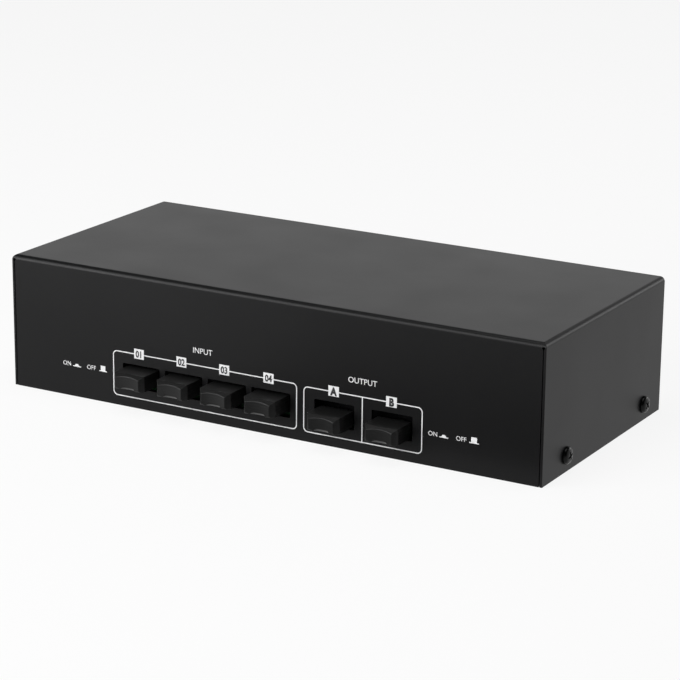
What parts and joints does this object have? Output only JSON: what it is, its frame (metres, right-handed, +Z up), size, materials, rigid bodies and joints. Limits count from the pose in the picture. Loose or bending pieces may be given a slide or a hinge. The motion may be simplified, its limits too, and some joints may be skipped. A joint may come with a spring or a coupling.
{
  "type": "speaker selector switch",
  "caption": "Low folded-steel desktop box with two banks of push keys in front windows and rows of spring-clip wire terminals with press levers across its back.",
  "frame": {"origin": "centre of the case's flat underside", "axes": "+X to the right along the front, +Y to the back, +Z up"},
  "size_m": [0.2416, 0.1261, 0.055],
  "materials": {
    "painted_steel": "satin black powder coat",
    "black_screw": "gloss black oxide",
    "black_steel": "black chromate",
    "plated_steel": "zinc plated",
    "spring_steel": "nickel plated",
    "switch_plastic": "moulded",
    "plunger_plastic": "black acetal",
    "key_plastic": "satin moulded",
    "circuit_board": "solder mask on glass laminate",
    "terminal_plastic": "moulded",
    "lever_red": "moulded red",
    "lever_black": "moulded black"
  },
  "bodies": {
    "case": {"top_cover": "painted_steel", "base_chassis": "painted_steel", "cover_screws": "black_screw", "terminal_screws": "black_screw", "input_return_springs": "spring_steel", "output_return_springs": "spring_steel", "input_switch_housings": "switch_plastic", "output_switch_housings": "switch_plastic", "input_bank_frame": "black_steel", "output_bank_frame": "black_steel", "switch_board": "circuit_board", "terminal_board": "circuit_board", "board_header": "terminal_plastic", "board_standoffs": "plated_steel", "board_screws": "plated_steel", "terminal_contacts": "spring_steel", "terminal_block_input_1": "terminal_plastic", "terminal_block_input_2": "terminal_plastic", "terminal_block_input_3": "terminal_plastic", "terminal_block_input_4": "terminal_plastic", "terminal_block_output_a": "terminal_plastic", "terminal_block_output_b": "terminal_plastic"},
    "input_key_1": {"input_key_1": "key_plastic", "input_plunger_1": "plunger_plastic"},
    "input_key_2": {"input_key_2": "key_plastic", "input_plunger_2": "plunger_plastic"},
    "input_key_3": {"input_key_3": "key_plastic", "input_plunger_3": "plunger_plastic"},
    "input_key_4": {"input_key_4": "key_plastic", "input_plunger_4": "plunger_plastic"},
    "output_key_a": {"output_key_a": "key_plastic", "output_plunger_a": "plunger_plastic"},
    "output_key_b": {"output_key_b": "key_plastic", "output_plunger_b": "plunger_plastic"},
    "interlock_bar": {"interlock_bar": "plated_steel"},
    "lever_input_1_upper_left": {"lever_input_1_upper_left": "lever_red"},
    "lever_input_1_lower_left": {"lever_input_1_lower_left": "lever_red"},
    "lever_input_1_upper_right": {"lever_input_1_upper_right": "lever_black"},
    "lever_input_1_lower_right": {"lever_input_1_lower_right": "lever_black"},
    "lever_input_2_upper_left": {"lever_input_2_upper_left": "lever_red"},
    "lever_input_2_lower_left": {"lever_input_2_lower_left": "lever_red"},
    "lever_input_2_upper_right": {"lever_input_2_upper_right": "lever_black"},
    "lever_input_2_lower_right": {"lever_input_2_lower_right": "lever_black"},
    "lever_input_3_upper_left": {"lever_input_3_upper_left": "lever_red"},
    "lever_input_3_lower_left": {"lever_input_3_lower_left": "lever_red"},
    "lever_input_3_upper_right": {"lever_input_3_upper_right": "lever_black"},
    "lever_input_3_lower_right": {"lever_input_3_lower_right": "lever_black"},
    "lever_input_4_upper_left": {"lever_input_4_upper_left": "lever_red"},
    "lever_input_4_lower_left": {"lever_input_4_lower_left": "lever_red"},
    "lever_input_4_upper_right": {"lever_input_4_upper_right": "lever_black"},
    "lever_input_4_lower_right": {"lever_input_4_lower_right": "lever_black"},
    "lever_output_a_upper_left": {"lever_output_a_upper_left": "lever_red"},
    "lever_output_a_lower_left": {"lever_output_a_lower_left": "lever_red"},
    "lever_output_a_upper_right": {"lever_output_a_upper_right": "lever_black"},
    "lever_output_a_lower_right": {"lever_output_a_lower_right": "lever_black"},
    "lever_output_b_upper_left": {"lever_output_b_upper_left": "lever_red"},
    "lever_output_b_lower_left": {"lever_output_b_lower_left": "lever_red"},
    "lever_output_b_upper_right": {"lever_output_b_upper_right": "lever_black"},
    "lever_output_b_lower_right": {"lever_output_b_lower_right": "lever_black"}
  },
  "joints": [
    {"name": "press_input_1", "type": "slide", "parent": "case", "child": "input_key_1", "axis": [0, 1, 0], "range_m": [0, 0.005], "stiffness_N_per_m": 500, "springref_m": -0.003, "deforming": ["input_return_springs"]},
    {"name": "press_input_2", "type": "slide", "parent": "case", "child": "input_key_2", "axis": [0, 1, 0], "range_m": [0, 0.005], "stiffness_N_per_m": 500, "springref_m": -0.003, "deforming": ["input_return_springs"]},
    {"name": "press_input_3", "type": "slide", "parent": "case", "child": "input_key_3", "axis": [0, 1, 0], "range_m": [0, 0.005], "stiffness_N_per_m": 500, "springref_m": -0.003, "deforming": ["input_return_springs"]},
    {"name": "press_input_4", "type": "slide", "parent": "case", "child": "input_key_4", "axis": [0, 1, 0], "range_m": [0, 0.005], "stiffness_N_per_m": 500, "springref_m": -0.003, "deforming": ["input_return_springs"]},
    {"name": "press_output_a", "type": "slide", "parent": "case", "child": "output_key_a", "axis": [0, 1, 0], "range_m": [0, 0.005], "stiffness_N_per_m": 500, "springref_m": -0.003, "deforming": ["output_return_springs"]},
    {"name": "press_output_b", "type": "slide", "parent": "case", "child": "output_key_b", "axis": [0, 1, 0], "range_m": [0, 0.005], "stiffness_N_per_m": 500, "springref_m": -0.003, "deforming": ["output_return_springs"]},
    {"name": "shift_interlock_bar", "type": "slide", "parent": "case", "child": "interlock_bar", "axis": [1, 0, 0], "range_m": [0, 0.0015], "stiffness_N_per_m": 400, "springref_m": -0.001},
    {"name": "press_lever_input_1_upper_left", "type": "hinge", "parent": "case", "child": "lever_input_1_upper_left", "pos_m": [-0.1012, 0.0519, 0.0464], "axis": [-1, 0, 0], "range_deg": [0, 22], "stiffness_Nm_per_rad": 0.2, "springref_deg": -8.59},
    {"name": "press_lever_input_1_lower_left", "type": "hinge", "parent": "case", "child": "lever_input_1_lower_left", "pos_m": [-0.1012, 0.0519, 0.0259], "axis": [-1, 0, 0], "range_deg": [0, 22], "stiffness_Nm_per_rad": 0.2, "springref_deg": -8.59},
    {"name": "press_lever_input_1_upper_right", "type": "hinge", "parent": "case", "child": "lever_input_1_upper_right", "pos_m": [-0.0888, 0.0519, 0.0464], "axis": [-1, 0, 0], "range_deg": [0, 22], "stiffness_Nm_per_rad": 0.2, "springref_deg": -8.59},
    {"name": "press_lever_input_1_lower_right", "type": "hinge", "parent": "case", "child": "lever_input_1_lower_right", "pos_m": [-0.0888, 0.0519, 0.0259], "axis": [-1, 0, 0], "range_deg": [0, 22], "stiffness_Nm_per_rad": 0.2, "springref_deg": -8.59},
    {"name": "press_lever_input_2_upper_left", "type": "hinge", "parent": "case", "child": "lever_input_2_upper_left", "pos_m": [-0.0632, 0.0519, 0.0464], "axis": [-1, 0, 0], "range_deg": [0, 22], "stiffness_Nm_per_rad": 0.2, "springref_deg": -8.59},
    {"name": "press_lever_input_2_lower_left", "type": "hinge", "parent": "case", "child": "lever_input_2_lower_left", "pos_m": [-0.0632, 0.0519, 0.0259], "axis": [-1, 0, 0], "range_deg": [0, 22], "stiffness_Nm_per_rad": 0.2, "springref_deg": -8.59},
    {"name": "press_lever_input_2_upper_right", "type": "hinge", "parent": "case", "child": "lever_input_2_upper_right", "pos_m": [-0.0508, 0.0519, 0.0464], "axis": [-1, 0, 0], "range_deg": [0, 22], "stiffness_Nm_per_rad": 0.2, "springref_deg": -8.59},
    {"name": "press_lever_input_2_lower_right", "type": "hinge", "parent": "case", "child": "lever_input_2_lower_right", "pos_m": [-0.0508, 0.0519, 0.0259], "axis": [-1, 0, 0], "range_deg": [0, 22], "stiffness_Nm_per_rad": 0.2, "springref_deg": -8.59},
    {"name": "press_lever_input_3_upper_left", "type": "hinge", "parent": "case", "child": "lever_input_3_upper_left", "pos_m": [-0.0252, 0.0519, 0.0464], "axis": [-1, 0, 0], "range_deg": [0, 22], "stiffness_Nm_per_rad": 0.2, "springref_deg": -8.59},
    {"name": "press_lever_input_3_lower_left", "type": "hinge", "parent": "case", "child": "lever_input_3_lower_left", "pos_m": [-0.0252, 0.0519, 0.0259], "axis": [-1, 0, 0], "range_deg": [0, 22], "stiffness_Nm_per_rad": 0.2, "springref_deg": -8.59},
    {"name": "press_lever_input_3_upper_right", "type": "hinge", "parent": "case", "child": "lever_input_3_upper_right", "pos_m": [-0.0128, 0.0519, 0.0464], "axis": [-1, 0, 0], "range_deg": [0, 22], "stiffness_Nm_per_rad": 0.2, "springref_deg": -8.59},
    {"name": "press_lever_input_3_lower_right", "type": "hinge", "parent": "case", "child": "lever_input_3_lower_right", "pos_m": [-0.0128, 0.0519, 0.0259], "axis": [-1, 0, 0], "range_deg": [0, 22], "stiffness_Nm_per_rad": 0.2, "springref_deg": -8.59},
    {"name": "press_lever_input_4_upper_left", "type": "hinge", "parent": "case", "child": "lever_input_4_upper_left", "pos_m": [0.0128, 0.0519, 0.0464], "axis": [-1, 0, 0], "range_deg": [0, 22], "stiffness_Nm_per_rad": 0.2, "springref_deg": -8.59},
    {"name": "press_lever_input_4_lower_left", "type": "hinge", "parent": "case", "child": "lever_input_4_lower_left", "pos_m": [0.0128, 0.0519, 0.0259], "axis": [-1, 0, 0], "range_deg": [0, 22], "stiffness_Nm_per_rad": 0.2, "springref_deg": -8.59},
    {"name": "press_lever_input_4_upper_right", "type": "hinge", "parent": "case", "child": "lever_input_4_upper_right", "pos_m": [0.0252, 0.0519, 0.0464], "axis": [-1, 0, 0], "range_deg": [0, 22], "stiffness_Nm_per_rad": 0.2, "springref_deg": -8.59},
    {"name": "press_lever_input_4_lower_right", "type": "hinge", "parent": "case", "child": "lever_input_4_lower_right", "pos_m": [0.0252, 0.0519, 0.0259], "axis": [-1, 0, 0], "range_deg": [0, 22], "stiffness_Nm_per_rad": 0.2, "springref_deg": -8.59},
    {"name": "press_lever_output_a_upper_left", "type": "hinge", "parent": "case", "child": "lever_output_a_upper_left", "pos_m": [0.0508, 0.0519, 0.0464], "axis": [-1, 0, 0], "range_deg": [0, 22], "stiffness_Nm_per_rad": 0.2, "springref_deg": -8.59},
    {"name": "press_lever_output_a_lower_left", "type": "hinge", "parent": "case", "child": "lever_output_a_lower_left", "pos_m": [0.0508, 0.0519, 0.0259], "axis": [-1, 0, 0], "range_deg": [0, 22], "stiffness_Nm_per_rad": 0.2, "springref_deg": -8.59},
    {"name": "press_lever_output_a_upper_right", "type": "hinge", "parent": "case", "child": "lever_output_a_upper_right", "pos_m": [0.0632, 0.0519, 0.0464], "axis": [-1, 0, 0], "range_deg": [0, 22], "stiffness_Nm_per_rad": 0.2, "springref_deg": -8.59},
    {"name": "press_lever_output_a_lower_right", "type": "hinge", "parent": "case", "child": "lever_output_a_lower_right", "pos_m": [0.0632, 0.0519, 0.0259], "axis": [-1, 0, 0], "range_deg": [0, 22], "stiffness_Nm_per_rad": 0.2, "springref_deg": -8.59},
    {"name": "press_lever_output_b_upper_left", "type": "hinge", "parent": "case", "child": "lever_output_b_upper_left", "pos_m": [0.0888, 0.0519, 0.0464], "axis": [-1, 0, 0], "range_deg": [0, 22], "stiffness_Nm_per_rad": 0.2, "springref_deg": -8.59},
    {"name": "press_lever_output_b_lower_left", "type": "hinge", "parent": "case", "child": "lever_output_b_lower_left", "pos_m": [0.0888, 0.0519, 0.0259], "axis": [-1, 0, 0], "range_deg": [0, 22], "stiffness_Nm_per_rad": 0.2, "springref_deg": -8.59},
    {"name": "press_lever_output_b_upper_right", "type": "hinge", "parent": "case", "child": "lever_output_b_upper_right", "pos_m": [0.1012, 0.0519, 0.0464], "axis": [-1, 0, 0], "range_deg": [0, 22], "stiffness_Nm_per_rad": 0.2, "springref_deg": -8.59},
    {"name": "press_lever_output_b_lower_right", "type": "hinge", "parent": "case", "child": "lever_output_b_lower_right", "pos_m": [0.1012, 0.0519, 0.0259], "axis": [-1, 0, 0], "range_deg": [0, 22], "stiffness_Nm_per_rad": 0.2, "springref_deg": -8.59}
  ]
}
